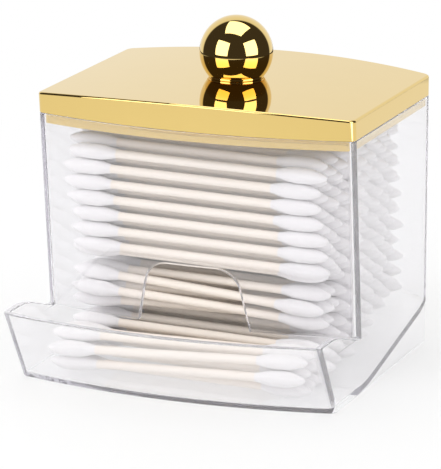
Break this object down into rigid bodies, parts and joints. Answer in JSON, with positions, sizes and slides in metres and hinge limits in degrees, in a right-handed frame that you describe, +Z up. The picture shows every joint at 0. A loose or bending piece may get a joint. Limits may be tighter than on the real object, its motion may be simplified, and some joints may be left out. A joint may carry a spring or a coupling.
{
  "type": "cotton swab holder",
  "caption": "Clear counter-top holder with a bowed front, finger notch and scoop tray, filled with cotton swabs, under a plated lift-off lid with a ball knob.",
  "frame": {"origin": "on the base plane, under the middle of the whole outline", "axes": "+X along the swabs to the right of the tray, -Y towards the tray, +Z up"},
  "size_m": [0.092, 0.0982, 0.0962],
  "materials": {
    "clear_plastic": "water-clear moulded plastic, polished",
    "plated_gold": "mirror-bright gold plating on moulded plastic",
    "screw_steel": "zinc-plated steel",
    "cotton": "soft white cotton on a rolled paper stick"
  },
  "bodies": {
    "holder": {"clear_box": "clear_plastic", "swab_column_1_low": "cotton", "swab_column_1_middle": "cotton", "swab_column_1_top": "cotton", "swab_column_2_low": "cotton", "swab_column_2_middle": "cotton", "swab_column_2_top": "cotton", "swab_column_3_low": "cotton", "swab_column_3_middle": "cotton", "swab_column_3_top": "cotton", "swab_column_4_low": "cotton", "swab_column_4_middle": "cotton", "swab_column_4_top": "cotton", "swab_column_5_low": "cotton", "swab_column_5_middle": "cotton", "swab_column_5_top": "cotton", "swab_column_6_low": "cotton", "swab_column_6_middle": "cotton", "swab_column_6_top": "cotton", "swab_column_7_low": "cotton", "swab_column_7_middle": "cotton", "swab_column_7_top": "cotton", "swab_column_8_low": "cotton", "swab_column_8_middle": "cotton", "swab_column_8_top": "cotton", "swab_column_9_low": "cotton", "swab_column_9_middle": "cotton", "swab_column_9_top": "cotton", "swab_column_10_low": "cotton", "swab_column_10_middle": "cotton", "swab_column_10_top": "cotton", "swab_column_11_low": "cotton", "swab_column_11_middle": "cotton", "swab_column_11_top": "cotton", "swab_column_12_low": "cotton", "swab_column_12_middle": "cotton", "swab_column_12_top": "cotton", "swab_column_13_low": "cotton", "swab_column_13_middle": "cotton", "swab_column_13_top": "cotton", "swab_column_14_low": "cotton", "swab_column_14_middle": "cotton", "swab_column_14_top": "cotton", "swab_column_15_low": "cotton", "swab_column_15_middle": "cotton", "swab_column_15_top": "cotton", "tray_column_1": "cotton", "notch_bundle": "cotton", "tray_bundle": "cotton"},
    "lid": {"lid": "plated_gold", "knob": "plated_gold", "knob_screw": "screw_steel"}
  },
  "joints": [
    {"name": "lid_lift", "type": "slide", "parent": "holder", "child": "lid", "axis": [0, 0, 1], "range_m": [0, 0.04]}
  ]
}
